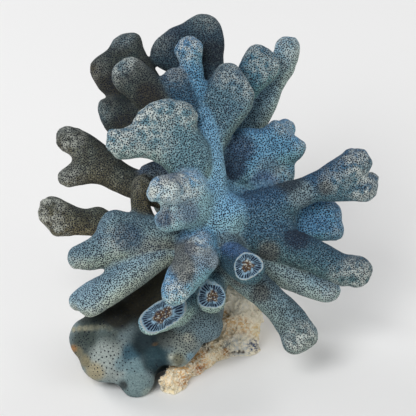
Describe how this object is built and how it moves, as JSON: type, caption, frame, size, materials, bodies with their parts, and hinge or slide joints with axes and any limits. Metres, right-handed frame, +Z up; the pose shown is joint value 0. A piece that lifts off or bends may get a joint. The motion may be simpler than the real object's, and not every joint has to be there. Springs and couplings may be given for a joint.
{
  "type": "blue ridge coral colony",
  "caption": "Branching blue coral skeleton of porous fans, fingers and knobbly branches on an encrusting base, with a piece of tan reef rock, standing on its flat cut underside.",
  "frame": {"origin": "centre of the bounding box in X and Y, at the height of the flat cut that the colony stands on", "axes": "+Z up; the colony faces -Y and +X is to its right as seen from the front; the colony's own face leans back 30 degrees from upright"},
  "size_m": [0.1716, 0.1426, 0.1525],
  "materials": {
    "coral": "matt porous skeleton in grey-blue with dark pores, paler at the growing tips",
    "rock": "rough dead reef rock in cream, tan and ochre with dark holes"
  },
  "bodies": {
    "root": {"reef_rock": "rock", "encrusting_base": "coral", "trunk": "coral", "top_fan": "coral", "upper_right_fan": "coral", "front_paddle": "coral", "top_finger": "coral", "middle_left_fan": "coral", "little_left_fan": "coral", "rear_left_fan": "coral", "low_left_fan": "coral", "right_paddle": "coral", "long_right_finger": "coral", "right_crest": "coral", "right_upper_arm": "coral", "right_middle_arm": "coral", "right_lower_arm": "coral", "right_lower_lobe": "coral", "low_right_branch": "coral", "right_stub": "coral", "front_stub": "coral", "front_club": "coral", "middle_stub": "coral", "left_stub": "coral", "left_front_branch": "coral", "left_lowest_branch": "coral", "left_riser": "coral", "left_thumb": "coral", "left_antler": "coral", "low_antler": "coral", "back_high_branch": "coral", "back_right_branch": "coral", "back_left_branch": "coral", "back_low_branch": "coral"}
  },
  "joints": []
}
